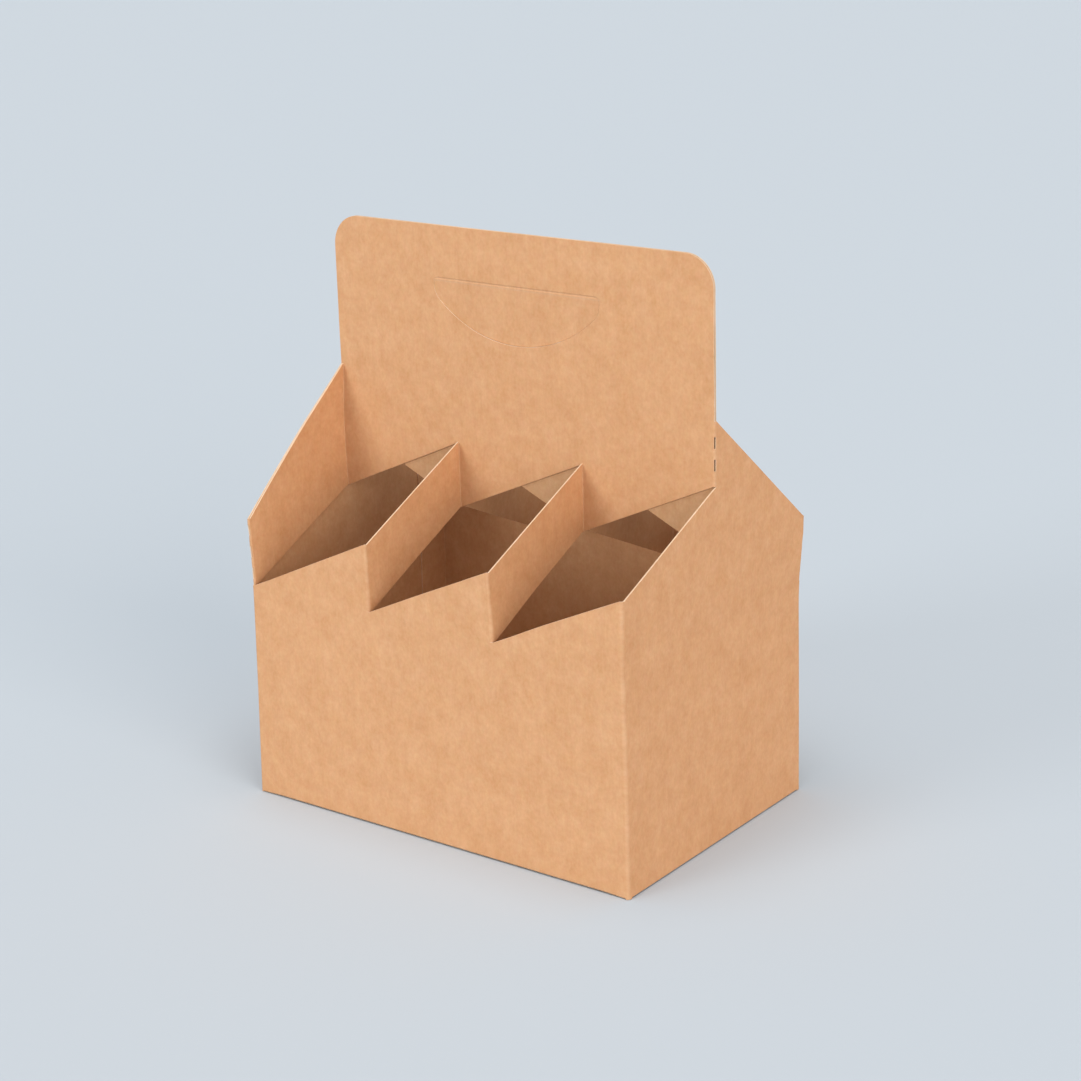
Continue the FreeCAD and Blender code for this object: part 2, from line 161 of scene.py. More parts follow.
# ---------------------------------------------------------------- helpers for outlines
def spaced(start, end, step=STEP):
    """Evenly spaced values from start to end, both included, at most step apart."""
    count = max(1, math.ceil(abs(end - start) / step - ROUNDING))
    return [start + (end - start) * index / count for index in range(count + 1)]


def levels(*heights):
    """Heights from the lowest to the highest, evenly spaced between the given ones."""
    found = [heights[0]]
    for low, high in zip(heights, heights[1:]):
        found += spaced(low, high)[1:]
    return found


def smooth(value, start, end):
    """0 before start, 1 after end and a smooth rise between."""
    share = min(1.0, max(0.0, (value - start) / (end - start)))
    return share * share * (3 - 2 * share)


def arc(centre, radius, start, end):
    """Points on an arc about centre, from one angle in degrees to another."""
    count = max(ARC_LEAST_PARTS, math.ceil(math.radians(abs(end - start)) * radius / ARC_STEP))
    turns = [math.radians(start + (end - start) * index / count) for index in range(count + 1)]
    return [(centre[0] + radius * math.cos(turn), centre[1] + radius * math.sin(turn)) for turn in turns]


def nick_heights(count, low, high):
    """The lower and upper end of each short cut along a nicked fold."""
    first = low + (high - low - NICK_LENGTH - NICK_PITCH * (count - 1)) / 2
    starts = [first + NICK_PITCH * cut for cut in range(count)]
    return [height for start in starts for height in (start, start + NICK_LENGTH)]


def subdivided(corners):
    """An outline with points at most a step apart, evenly between its corners."""
    found = []
    for (x, y), (next_x, next_y) in zip(corners, corners[1:] + corners[:1]):
        longest = max(abs(next_x - x), abs(next_y - y))
        count = max(1, math.ceil(longest / STEP - ROUNDING))
        found += [(x + (next_x - x) * part / count, y + (next_y - y) * part / count)
                  for part in range(count)]
    return found


def inside(spot, outline):
    """Whether a spot lies inside an outline."""
    x, y = spot
    crossings = 0
    for (x1, y1), (x2, y2) in zip(outline, outline[1:] + outline[:1]):
        if (y1 > y) != (y2 > y) and x < x1 + (y - y1) * (x2 - x1) / (y2 - y1):
            crossings += 1
    return crossings % 2 == 1


def grid_inside(outline, hole, rows):
    """Spots for the inside of a panel, clear of its edges, and the closer rows along its creases."""
    found = []
    low_x, high_x = min(x for x, _ in outline), max(x for x, _ in outline)
    low_y, high_y = min(y for _, y in outline), max(y for _, y in outline)
    edge = outline + hole
    for x in spaced(low_x, high_x)[1:-1]:
        for y in spaced(low_y, high_y)[1:-1]:
            if not inside((x, y), outline) or (hole and inside((x, y), hole)):
                continue
            clear = min((x - edge_x) ** 2 + (y - edge_y) ** 2 for edge_x, edge_y in edge) ** 0.5
            if clear > EDGE_CLEARANCE and all(abs(y - height) > ROW_CLEARANCE for height in rows):
                found.append((x, y))
    for height in rows:
        found += [(x, height) for x in spaced(-GRIP_HALF + STEP / 2, GRIP_HALF - STEP / 2, STEP / 2)]
    return found


def ring(first, count):
    """The closed ring of edges over count points from the first."""
    return [(first + index, first + (index + 1) % count) for index in range(count)]


HANDLE_NICKS = nick_heights(count=2, low=END_PEAK, high=SHOULDER)
CORNER_NICKS = nick_heights(count=3, low=RIM_LOW, high=CORNER_PEAK)


# ---------------------------------------------------------------- the sheet's middle surface
class Sheet:
    """The middle surface of a folded sheet: its points, and faces whose front is the board's outer side."""

    def __init__(self):
        self.points = []
        self.creased = []
        self.known = {}
        self.faces = []
        self.flats = []

    def point(self, place, creased=0.0):
        """The index of a point, made once for all the panels that share it."""
        key = tuple(round(value / WELD) for value in place)
        if key not in self.known:
            self.known[key] = len(self.points)
            self.points.append(Vector(place))
            self.creased.append(0.0)
        index = self.known[key]
        self.creased[index] = max(self.creased[index], creased)
        return index

    def face(self, indices, flats, flipped):
        """One face with its corners' places on the flat blank."""
        turn = -1 if flipped else 1
        self.faces.append(indices[::turn])
        self.flats.append(flats[::turn])

    def panel(self, corners, place, flat, hole=(), rows=(), flipped=False):
        """A flat panel: its outline and an optional hole, in its own two directions."""
        outline = subdivided(corners)
        hole = subdivided(hole) if hole else []
        spots = [Vector(spot) for spot in outline + hole + grid_inside(outline, hole, rows)]
        edges = ring(0, len(outline)) + ring(len(outline), len(hole))
        spots, _, triangles, _, _, _ = geometry.delaunay_2d_cdt(spots, edges, [], INSIDE_ONLY, WELD, False)
        indices = [self.point(place(*spot)) for spot in spots]
        flats = [flat(*spot) for spot in spots]
        for triangle in triangles:
            first, second, third = (spots[spot] for spot in triangle)
            middle = (first + second + third) / 3
            # three points along one straight edge are no face
            if abs((second - first).cross(third - first)) < WELD * STEP:
                continue
            if inside(middle, outline) and not (hole and inside(middle, hole)):
                self.face([indices[spot] for spot in triangle], [flats[spot] for spot in triangle],
                          flipped)

    def fold(self, place, flat, columns, along, cuts=(), flipped=False):
        """A rounded fold: place takes a share of the turn and a distance along the fold."""
        shares = [column / columns for column in range(columns + 1)]
        turn_length = math.dist(flat(0.0, along[0]), flat(1.0, along[0]))
        nick_columns = round(NICK_WIDTH / turn_length * columns / 2)
        # the middle of a fold counts as most creased; the finish paints it paler, partly as painted
        # highlight
        grid = [[self.point(place(share, at), math.sin(math.pi * share)) for at in along]
                for share in shares]
        for column in range(columns):
            for row in range(len(along) - 1):
                middle = (along[row] + along[row + 1]) / 2
                nicked = any(low < middle < high for low, high in zip(cuts[::2], cuts[1::2]))
                if nicked and abs(column + 0.5 - columns / 2) < nick_columns:
                    continue
                ends = ((column, row), (column + 1, row), (column + 1, row + 1), (column, row + 1))
                self.face([grid[across][up] for across, up in ends],
                          [flat(shares[across], along[up]) for across, up in ends], flipped)


# ---------------------------------------------------------------- panels and folds of one half
def turned(side, x, y, z):
    """A place in the front half's frame, turned round for the back half."""
    return (x * side, y * side, z)


def on_blank(side, distance):
    """Distance along the flat blank, from the front wall's left end."""
    return distance + (0 if side == FRONT else HALF_BLANK)


def upright_fold(sheet, side, centre, start, end, heights, flat_start, cuts=(), radius=MIDDLE,
                 columns=QUARTER_COLUMNS, spread=None):
    """An upright fold about centre, from one direction to another. spread widens it, by height."""
    length = radius * math.radians(abs(end - start))

    def place(share, height):
        wider = spread(height) if spread else 0.0
        turn = math.radians(start + (end - start) * share)
        return turned(side, centre[0] - wider + (radius + wider) * math.cos(turn),
                      centre[1] + wider + (radius + wider) * math.sin(turn), height)

    def flat(share, height):
        return (on_blank(side, flat_start + length * share), height)

    sheet.fold(place, flat, columns, heights, cuts)


def level_fold(sheet, flat_of, place_of, centre, start, end, along):
    """A fold between a wall and a floor flap, about a level line."""
    def place(share, at):
        turn = math.radians(start + (end - start) * share)
        return place_of(centre[0] + MIDDLE * math.cos(turn), at, centre[1] + MIDDLE * math.sin(turn))

    def flat(share, at):
        return flat_of(at, centre[1] + QUARTER * (share - 1))

    sheet.fold(place, flat, QUARTER_COLUMNS, along, flipped=True)


def strap_spread(height):
    """How much wider a strap's fold is at this height."""
    return STRAP_FOLD_SPREAD * (RIM_PEAK - height) / (RIM_PEAK - RIM_LOW)


def wall_flat(side):
    """Places of a long wall and its floor flap on the blank."""
    return lambda x, height: (on_blank(side, x + WALL_END), height)


def end_flat(side):
    """Places of an end wall and its floor flap on the blank."""
    return lambda y, height: (on_blank(side, WALL_END * 2 + QUARTER + y - WALL_START), height)


def long_wall(sheet, side, far_end):
    """Front or back wall, with the rim's ramps and the steps that the straps fold away from."""
    corners = [(-WALL_END, OUTSIDE), (far_end, OUTSIDE), (far_end, END_LIFT), (far_end, RIM_LOW),
               (far_end, RIM_PEAK)]
    for divider in reversed(DIVIDERS):
        fold_start = divider - OUTSIDE
        corners += [(divider, RIM_LOW), (fold_start - strap_spread(RIM_LOW), RIM_LOW),
                    (fold_start, RIM_PEAK)]
    corners += [(-WALL_END, RIM_LOW), (-WALL_END, END_LIFT)]
    sheet.panel(corners, lambda x, z: turned(side, x, BOARD / 2 - HALF_DEPTH, z), wall_flat(side))


def end_wall(sheet, side):
    """Right or left wall: a low half, a step where the handle turns in, and a high half."""
    first = WALL_START + CORNER_FOLD_SPREAD if side == FRONT else SEAM_SETBACK - HALF_DEPTH
    corners = [(first, CORNER_FOOT), (-FLAP_HALF, CORNER_FOOT), (-FLAP_HALF, END_LIFT),
               (FLAP_HALF, END_LIFT), (FLAP_HALF, CORNER_FOOT)]
    corners += [(-WALL_START, height) for height in (CORNER_FOOT, OUTSIDE, END_LIFT, RIM_LOW)]
    corners += [(-HALF_TURN_START, RIM_LOW)]
    corners += [(-HALF_TURN_START, height) for height in CORNER_NICKS + [CORNER_PEAK]]
    corners += [(INSIDE, height) for height in [SHOULDER] + HANDLE_NICKS[::-1] + [END_PEAK]]
    corners += [(first, height) for height in (RIM_PEAK, RIM_LOW, END_LIFT, OUTSIDE)]
    sheet.panel(corners, lambda y, z: turned(side, HALF_LENGTH - BOARD / 2, y, z), end_flat(side))


def doubled_corner(sheet, side):
    """The plain lower part of the corner that is doubled above the rim's low end."""
    upright_fold(sheet, side, (-WALL_END, WALL_START), -WEST, SOUTH,
                 levels(CORNER_FOOT, OUTSIDE, END_LIFT, RIM_LOW), -QUARTER)


def lining(sheet, side):
    """The lining ply, its fold into the handle and the nicked half-turn fold at the corner."""
    middle = LINING_FACE - BOARD / 2
    bend = (BOARD + PLY_GAP) / 2
    fold_start = LINING_FACE - OUTSIDE + WALL_END + STRAP_TO_HANDLE - QUARTER

    def flat(y, height):
        return (on_blank(side, fold_start + y - STRAP_END), height)

    corners = [(HALF_TURN_START, RIM_LOW), (STRAP_END, RIM_PEAK), (STRAP_END, END_PEAK),
               (STRAP_END, SHOULDER)]
    corners += [(HALF_TURN_START, height) for height in [CORNER_PEAK] + CORNER_NICKS[::-1]]
    sheet.panel(corners, lambda y, z: turned(side, middle, y, z), flat)
    upright_fold(sheet, side, (LINING_FACE + INSIDE, STRAP_END), WEST, NORTH,
                 levels(RIM_PEAK, END_PEAK, SHOULDER), fold_start)
    upright_fold(sheet, side, (middle - bend, HALF_TURN_START), -WEST, EAST,
                 levels(RIM_LOW, *CORNER_NICKS, CORNER_PEAK),
                 fold_start + HALF_TURN_START - STRAP_END - bend * math.pi, CORNER_NICKS, bend,
                 HALF_COLUMNS)


def strap(sheet, side, divider):
    """A divider: it folds back from the long wall's step and turns into the handle ply."""
    start = divider - OUTSIDE + WALL_END
    corners = [(WALL_START + strap_spread(RIM_LOW), RIM_LOW), (STRAP_END, RIM_PEAK),
               (STRAP_END, END_PEAK), (WALL_START, RIM_PEAK)]
    sheet.panel(corners, lambda y, z: turned(side, divider - BOARD / 2, y, z),
                lambda y, z: (on_blank(side, start + QUARTER + y - WALL_START), z))
    upright_fold(sheet, side, (divider - OUTSIDE, WALL_START), SOUTH, EAST,
                 levels(RIM_LOW, RIM_PEAK), start, spread=strap_spread)
    upright_fold(sheet, side, (divider + INSIDE, STRAP_END), WEST, NORTH, levels(RIM_PEAK, END_PEAK),
                 start + STRAP_TO_HANDLE - QUARTER)


def handle_flat(side):
    """Places of a handle ply on the blank: a strap's length further along than the wall below."""
    return lambda x, height: (on_blank(side, x - INSIDE - OUTSIDE + WALL_END + STRAP_TO_HANDLE), height)


def grip_outline(inset, top):
    """The hand-hole drawn in by inset, from its top round its sides, corners and long arc."""
    corner_x = GRIP_HALF - GRIP_CORNER
    corner_z = GRIP_CREASE - GRIP_SIDE
    lift = corner_z - GRIP_BOTTOM
    radius = (corner_x ** 2 + lift ** 2 - GRIP_CORNER ** 2) / ((lift - GRIP_CORNER) * 2)
    centre_z = GRIP_BOTTOM + radius
    slope = math.degrees(math.atan2(centre_z - corner_z, corner_x))
    low = arc((0.0, centre_z), radius - inset, slope - WEST, -slope)
    left = arc((-corner_x, corner_z), GRIP_CORNER - inset, -WEST, slope - WEST)
    right = [(-x, z) for x, z in left[::-1]]
    half = GRIP_HALF - inset
    return [(half, top), (-half, top)] + left + low[1:-1] + right


def handle_ply(sheet, side):
    """One of the handle's two plies, with a ramp over each cell along its lower edge."""
    starts = [face + INSIDE for face in (LINING_FACE, *DIVIDERS)]
    corners = []
    for start, end in zip(starts, starts[1:] + [WALL_END]):
        corners += [(start, RIM_PEAK), (end, END_PEAK)]
    end = HALF_LENGTH - HANDLE_SETBACK
    turn_x, turn_z = end - HANDLE_CORNER, TOP - HANDLE_CORNER
    corners += [(WALL_END, height) for height in HANDLE_NICKS + [SHOULDER]]
    corners += [(end, SHOULDER)] + arc((turn_x, turn_z), HANDLE_CORNER, EAST, NORTH)
    corners += arc((-turn_x, turn_z), HANDLE_CORNER, NORTH, WEST) + [(-end, SHOULDER)]
    corners += [(starts[0], SHOULDER), (starts[0], END_PEAK)]
    rows = [GRIP_CREASE + gap for gap in CREASE_ROWS]
    sheet.panel(corners, lambda x, z: turned(side, x, -BOARD / 2, z), handle_flat(side),
                grip_outline(0.0, GRIP_CREASE), rows)
    upright_fold(sheet, side, (WALL_END, INSIDE), SOUTH, EAST, levels(END_PEAK, *HANDLE_NICKS, SHOULDER),
                 WALL_END * 2 - INSIDE - OUTSIDE + STRAP_TO_HANDLE, HANDLE_NICKS)


def glued_corner(sheet):
    """The back wall's flap, which turns in and is glued behind the left wall."""
    far_end = WALL_END - BOARD
    free = WALL_START + SEAM_WIDTH
    upright_fold(sheet, BACK, (far_end, WALL_START), SOUTH, EAST,
                 levels(CORNER_FOOT, OUTSIDE, END_LIFT, RIM_LOW, RIM_PEAK), far_end + WALL_END)
    corners = [(WALL_START, END_LIFT), (free, END_LIFT + SEAM_TAPER), (free, RIM_PEAK - SEAM_TAPER),
               (WALL_START, RIM_PEAK), (WALL_START, RIM_LOW)]
    sheet.panel(corners, lambda y, z: turned(BACK, HALF_LENGTH - SECOND_PLY, y, z), end_flat(BACK))


def floor_flap(sheet, side, far_end):
    """A long wall's floor flap, with the tongue that locks it over the other one."""
    left, right = FLAP_REACH + LOCK_SPACING - HALF_LENGTH, -LOCK_SPACING
    free = -FLOOR_SLIT / 2
    bend_y = LOCK_REACH - LOCK_CORNER
    corners = [(-WALL_END, WALL_START), (far_end, WALL_START), (WALL_END - FLOOR_TAPER, free),
               (right, free)]
    corners += arc((right - LOCK_CORNER, bend_y), LOCK_CORNER, EAST, NORTH)
    corners += arc((left + LOCK_CORNER, bend_y), LOCK_CORNER, NORTH, WEST)
    corners += [(left, free), (FLOOR_TAPER - WALL_END, free)]

    def place(x, y):
        over = smooth(y, free - STEP, free) * smooth(x, left - STEP, left)
        over *= 1 - smooth(x, right, right + STEP)
        return turned(side, x, y, BOARD / 2 + BOARD * over)

    flat = wall_flat(side)
    sheet.panel(corners, place, lambda x, y: flat(x, OUTSIDE - QUARTER + WALL_START - y), flipped=True)
    level_fold(sheet, flat, lambda y, x, z: turned(side, x, y, z), (WALL_START, OUTSIDE), SOUTH, -WEST,
               spaced(-WALL_END, far_end))


def end_flap(sheet, side):
    """An end wall's floor flap, glued on top of the two long ones."""
    free = HALF_LENGTH - FLAP_REACH
    narrow = FLAP_HALF - FLAP_TAPER
    corners = [(WALL_END, -FLAP_HALF), (WALL_END, FLAP_HALF), (free, narrow), (free, -narrow)]
    flat = end_flat(side)
    sheet.panel(corners, lambda x, y: turned(side, x, y, SECOND_PLY),
                lambda x, y: flat(y, END_LIFT - QUARTER + x - WALL_END), flipped=True)
    level_fold(sheet, flat, lambda x, y, z: turned(side, x, y, z), (WALL_END, END_LIFT), SOUTH, EAST,
               spaced(-FLAP_HALF, FLAP_HALF))


def folded_sheet():
    """The middle surface of the whole blank."""
    sheet = Sheet()
    for side, far_end in ((FRONT, WALL_END - CORNER_FOLD_SPREAD), (BACK, WALL_END - BOARD)):
        long_wall(sheet, side, far_end)
        floor_flap(sheet, side, far_end)
        doubled_corner(sheet, side)
        lining(sheet, side)
        for divider in DIVIDERS:
            strap(sheet, side, divider)
        handle_ply(sheet, side)
        end_wall(sheet, side)
        end_flap(sheet, side)
    upright_fold(sheet, FRONT, (WALL_END, WALL_START), SOUTH, EAST,
                 levels(CORNER_FOOT, OUTSIDE, END_LIFT, RIM_LOW, RIM_PEAK),
                 WALL_END * 2 - CORNER_FOLD_SPREAD, spread=lambda height: CORNER_FOLD_SPREAD)
    glued_corner(sheet)
    return sheet


def grip_tab(side):
    """The middle surface of the tab in one ply, which hangs from its crease."""
    sheet = Sheet()
    half = GRIP_HALF - GRIP_SLIT
    top = GRIP_CREASE - BEND_HEIGHT
    flat = handle_flat(side)
    sheet.panel(grip_outline(GRIP_SLIT, top), lambda x, z: turned(side, x, -BOARD / 2, z), flat)
    sheet.fold(lambda share, x: turned(side, x, -BOARD / 2, top + BEND_HEIGHT * share),
               lambda share, x: flat(x, top + BEND_HEIGHT * share), BEND_ROWS, spaced(-half, half),
               flipped=True)
    return sheet


# ---------------------------------------------------------------- how the folded sheet has settled
# slow waves in all the walls; noise_vector is shifted by the seed, and without one by the clock
WAVE_SIZE = 60.0 * MM
WAVE_HEIGHT = 0.25 * MM
WAVE_SEED = 6
noise.seed_set(WAVE_SEED)
# the two plies of the handle, which stand a little apart
PLY_SPREAD = 0.12 * MM
PLY_WAVE = 20.0 * MM
# the crumpled edge of a doubled corner
CRUMPLE_SIZE = 5.0 * MM
CRUMPLE_HEIGHT = 0.35 * MM
# the pressed line that the hand-hole's tabs fold on: its middle, depth and half its width
GROOVE_LEVEL = GRIP_CREASE + 0.45 * MM
CREASE_DEPTH = 0.28 * MM
CREASE_WIDTH = 0.65 * MM
# how far each end leans out, by height
LEFT_LEAN = ((0.0, 2.7 * MM), (RIM_LOW / 2, 1.0 * MM), (RIM_LOW, -0.2 * MM), (SHOULDER, 0.0), (TOP, 0.0))
RIGHT_LEAN = ((0.0, 0.3 * MM), (RIM_LOW, -0.3 * MM), (END_PEAK, 0.1 * MM), (TOP, 0.1 * MM))
# how far each doubled corner's top stands off: along the carrier, across it and upwards
CORNER_LEAN = {FRONT: (0.0, 0.5 * MM, 1.4 * MM), BACK: (1.0 * MM, 2.3 * MM, 0.0)}
# how near to its end wall a doubled corner moves in full and at all, and the height that it moves from
CORNER_NEAR, CORNER_REACH = 3.0 * MM, 7.0 * MM
CORNER_ROOT = RIM_LOW - 10.0 * MM
# how far the left wall swells out above the rim's low end, and the height where it does so in full
END_SWELL = 1.4 * MM
SWELL_LEVEL = RIM_PEAK + 20.0 * MM
# how far the front wall's rim bows in, by the place along it, and the height that it bows from
RIM_BOW = ((-HALF_LENGTH, 0.0), (DIVIDERS[0], 1.2 * MM), (DIVIDERS[1], -0.7 * MM), (HALF_LENGTH, -0.9 * MM))
BOW_ROOT = RIM_LOW * 0.4
# how far the back wall stands out at its right end, as seen from the front
BACK_BOW = 0.6 * MM
# how far the low end of each strap's fold has moved along the front wall
STEP_SHIFT = ((DIVIDERS[0], 0.45 * MM), (DIVIDERS[1], 1.3 * MM))
# how near to such a fold the board moves in full and at all, and how near to the middle a strap still does
STEP_NEAR, STEP_REACH = 5.0 * MM, 35.0 * MM
STEP_INNER = HALF_DEPTH / 3
# how far the folds round the floor stand up from it, along the long walls and along the end walls
WALL_LIFT = 0.45 * MM
END_WALL_LIFT = 0.05 * MM
# how far in over the floor and how far up the walls this reaches
EDGE_WIDTH = 14.0 * MM
FOOT_TOP = RIM_LOW / 4
# how much higher the rim stands at the left end, and how much lower the handle's top edge
LEFT_RISE = 0.5 * MM
HANDLE_DROP = 0.35 * MM
# how far an end wall's lower fold sags below the floor flaps' upper face
END_SAG = 1.1 * MM
# how far the hand-hole's tabs have been pressed back at their lower edge
TAB_PRESS = 0.7 * MM


def between(value, table):
    """The value of a table of places and amounts, evenly between its rows."""
    for (low, first), (high, second) in zip(table, table[1:]):
        if value <= high:
            return first + (second - first) * max(0.0, (value - low) / (high - low))
    return table[-1][1]


def leaning(x, y, z):
    """How far the walls lean, bow and swell at a place."""
    share = (x + HALF_LENGTH) / (HALF_LENGTH * 2)
    rise = smooth(z, 0.0, RIM_LOW)
    moved = noise.noise_vector(Vector((x, y, z)) / WAVE_SIZE) * WAVE_HEIGHT * rise
    moved.x += between(z, RIGHT_LEAN) * share - between(z, LEFT_LEAN) * (1 - share)
    high = smooth(z, RIM_LOW, SWELL_LEVEL) * (1 - smooth(z, END_PEAK, SHOULDER))
    moved.x -= END_SWELL * high * smooth(-x, DIVIDERS[1], HALF_LENGTH)
    if y < 0:
        moved.y += between(x, RIM_BOW) * (-y / HALF_DEPTH) * smooth(z, BOW_ROOT, RIM_PEAK)
    else:
        moved.y += BACK_BOW * y / HALF_DEPTH * share
    for divider, shift in STEP_SHIFT:
        near = 1 - smooth(abs(x - divider), STEP_NEAR, STEP_REACH)
        near *= smooth(-y, STEP_INNER, HALF_DEPTH) * smooth(z, RIM_LOW - STEP_REACH, RIM_LOW)
        moved.x += shift * near * (1 - smooth(z, RIM_LOW, RIM_PEAK))
    moved.z = LEFT_RISE * (1 - share) * smooth(z, END_LIFT, FOOT_TOP) * (1 - smooth(z, RIM_PEAK, SHOULDER))
    moved.z -= HANDLE_DROP * smooth(z, SHOULDER, TOP)
    return moved


def corner_leaning(x, y, z):
    """How far the doubled corners stand off and how their edges are crumpled."""
    moved = Vector()
    for side, (lean_x, lean_y, lean_z) in CORNER_LEAN.items():
        corner = smooth(-x * side, HALF_LENGTH - CORNER_REACH, HALF_LENGTH - CORNER_NEAR)
        corner *= max(0.0, -y * side) / HALF_DEPTH * smooth(z, CORNER_ROOT, CORNER_PEAK)
        moved += Vector((-lean_x * side, -lean_y * side, lean_z)) * corner
        if -y * side > -HALF_TURN_START and z > RIM_LOW:
            crumple = noise.noise(Vector((side, 0.0, z / CRUMPLE_SIZE)))
            moved.y += CRUMPLE_HEIGHT * crumple * smooth(z, RIM_LOW, RIM_LOW + CRUMPLE_SIZE)
    return moved


def floor_lifting(x, y, z):
    """How far the folds round the floor stand up, and where an end's fold sags again."""
    near_wall = smooth(abs(y), HALF_DEPTH - EDGE_WIDTH, HALF_DEPTH)
    near_end = smooth(abs(x), HALF_LENGTH - EDGE_WIDTH, HALF_LENGTH)
    low = 1 - smooth(z, END_LIFT, FOOT_TOP)
    lift = max(WALL_LIFT * near_wall * (1 - near_end), END_WALL_LIFT * near_end)
    sag = END_SAG * smooth(abs(x), WALL_END, HALF_LENGTH) * smooth(z, 0.0, END_LIFT)
    return (lift - sag) * low


def plies_apart(x, y, z):
    """How far a ply of the handle stands off from the other one."""
    depth = abs(y)
    if z < RIM_PEAK or depth > OUTSIDE:
        return 0.0
    apart = depth / (BOARD / 2) if depth < BOARD / 2 else (OUTSIDE - depth) / (OUTSIDE - BOARD / 2)
    swell = 1 + noise.noise(Vector((x, 0.0, z)) / PLY_WAVE)
    return math.copysign(PLY_SPREAD * apart * swell, y)


def settled(place, is_tab):
    """Where a point of the sharply folded sheet comes to rest in the real one."""
    x, y, z = place
    moved = leaning(x, y, z) + corner_leaning(x, y, z)
    moved += Vector((0.0, plies_apart(x, y, z), floor_lifting(x, y, z)))
    if is_tab:
        moved.y += TAB_PRESS * (GRIP_CREASE - z) / (GRIP_CREASE - GRIP_BOTTOM)
    return Vector(place) + moved


def crease_groove(place):
    """Depth of the pressed line that the hand-hole's tabs fold on, and how it slopes upwards."""
    x, _, z = place
    away = z - GROOVE_LEVEL
    if abs(x) > GRIP_HALF or abs(away) > CREASE_WIDTH:
        return 0.0, 0.0
    turn = math.pi * away / CREASE_WIDTH
    depth = CREASE_DEPTH * (1 + math.cos(turn)) / 2
    slope = -CREASE_DEPTH / CREASE_WIDTH * math.sin(turn) * math.pi / 2
    return depth, slope


# ---------------------------------------------------------------- giving the sheet its thickness
FACE, REVERSE, CUT = 0, 1, 2
# the cut edge's profile: share of the thickness, bulge and how far its normal leans that way
CUT_PROFILE = ((0.5, 0.0, 0.6), (0.25, 0.05 * MM, 0.2), (-0.25, 0.05 * MM, -0.2), (-0.5, 0.0, -0.6))
# how far the blank's places move on from one row of the profile to the next
CUT_STEP = BOARD / (len(CUT_PROFILE) - 1)


class Skin:
    """The faces over a sheet's two sides and its cut edges, and what each of their corners needs."""

    def __init__(self, vertices):
        self.vertices = vertices
        self.faces = []
        self.sides = []
        self.flats = []
        self.normals = []

    def face(self, indices, flats, normals, side):
        """One face, with its corners' places on the flat blank and their normals."""
        self.faces.append(indices)
        self.sides.append(side)
        self.flats += flats
        self.normals += normals


def surface_normals(points, faces):
    """The normal at each point, from the faces round it by their area."""
    found = [Vector() for _ in points]
    for indices in faces:
        first, second, third, last = (points[index] for index in (*indices[:3], indices[-1]))
        if len(indices) == 4:
            across = (third - first).cross(last - second)
        else:
            across = (second - first).cross(third - first)
        for index in indices:
            found[index] += across
    return [normal.normalized() for normal in found]


def free_edges(faces):
    """The edges that only one face has, in the direction that face runs, with its number and corner."""
    runs = {}
    for number, indices in enumerate(faces):
        for corner, index in enumerate(indices):
            runs[(index, indices[(corner + 1) % len(indices)])] = (number, corner)
    return {edge: home for edge, home in runs.items() if edge[::-1] not in runs}


def cut_rings(skin, points, normals, edges):
    """Adds the vertices along the free edges, and gives for each point its row of them and their normals."""
    outward = {}
    for start, end in edges:
        along = points[end] - points[start]
        for index in (start, end):
            outward[index] = outward.get(index, Vector()) + along.cross(normals[index])
    rings = {}
    for index, out in outward.items():
        out = out.normalized()
        vertices = [index]
        for share, bulge, _ in CUT_PROFILE[1:-1]:
            vertices.append(len(skin.vertices))
            skin.vertices.append(points[index] + normals[index] * (BOARD * share) + out * bulge)
        vertices.append(index + len(points))
        leaning_out = [(out + normals[index] * lean).normalized() for _, _, lean in CUT_PROFILE]
        rings[index] = (vertices, leaning_out)
    return rings


def add_cut_edges(skin, sheet, points, normals):
    """The rounded faces along all the free edges of a sheet."""
    edges = free_edges(sheet.faces)
    rings = cut_rings(skin, points, normals, edges)
    for (start, end), (number, corner) in edges.items():
        flat = sheet.flats[number]
        first, second = flat[corner], flat[(corner + 1) % len(flat)]
        for level in range(len(CUT_PROFILE) - 1):
            corners = ((start, level, first), (start, level + 1, first),
                       (end, level + 1, second), (end, level, second))
            skin.face([rings[index][0][at] for index, at, _ in corners],
                      [(spot[0] + CUT_STEP * at, spot[1] + CUT_STEP * at) for _, at, spot in corners],
                      [rings[index][1][at] for index, at, _ in corners], CUT)


def board_skin(sheet, points, grooves):
    """The outer face, the reverse and the cut edges over a sheet's settled points."""
    normals = surface_normals(points, sheet.faces)
    reversed_normals = [-normal for normal in normals]
    grooved_normals = [(normal + Vector((0.0, 0.0, slope))).normalized()
                       for normal, (_, slope) in zip(normals, grooves)]
    vertices = [point + normal * (BOARD / 2 - groove)
                for point, normal, (groove, _) in zip(points, normals, grooves)]
    vertices += [point - normal * (BOARD / 2) for point, normal in zip(points, normals)]
    skin = Skin(vertices)
    for indices, flat in zip(sheet.faces, sheet.flats):
        back_indices = indices[::-1]
        skin.face(indices, flat, [grooved_normals[index] for index in indices], FACE)
        skin.face([index + len(points) for index in back_indices], flat[::-1],
                  [reversed_normals[index] for index in back_indices], REVERSE)
    add_cut_edges(skin, sheet, points, normals)
    return skin


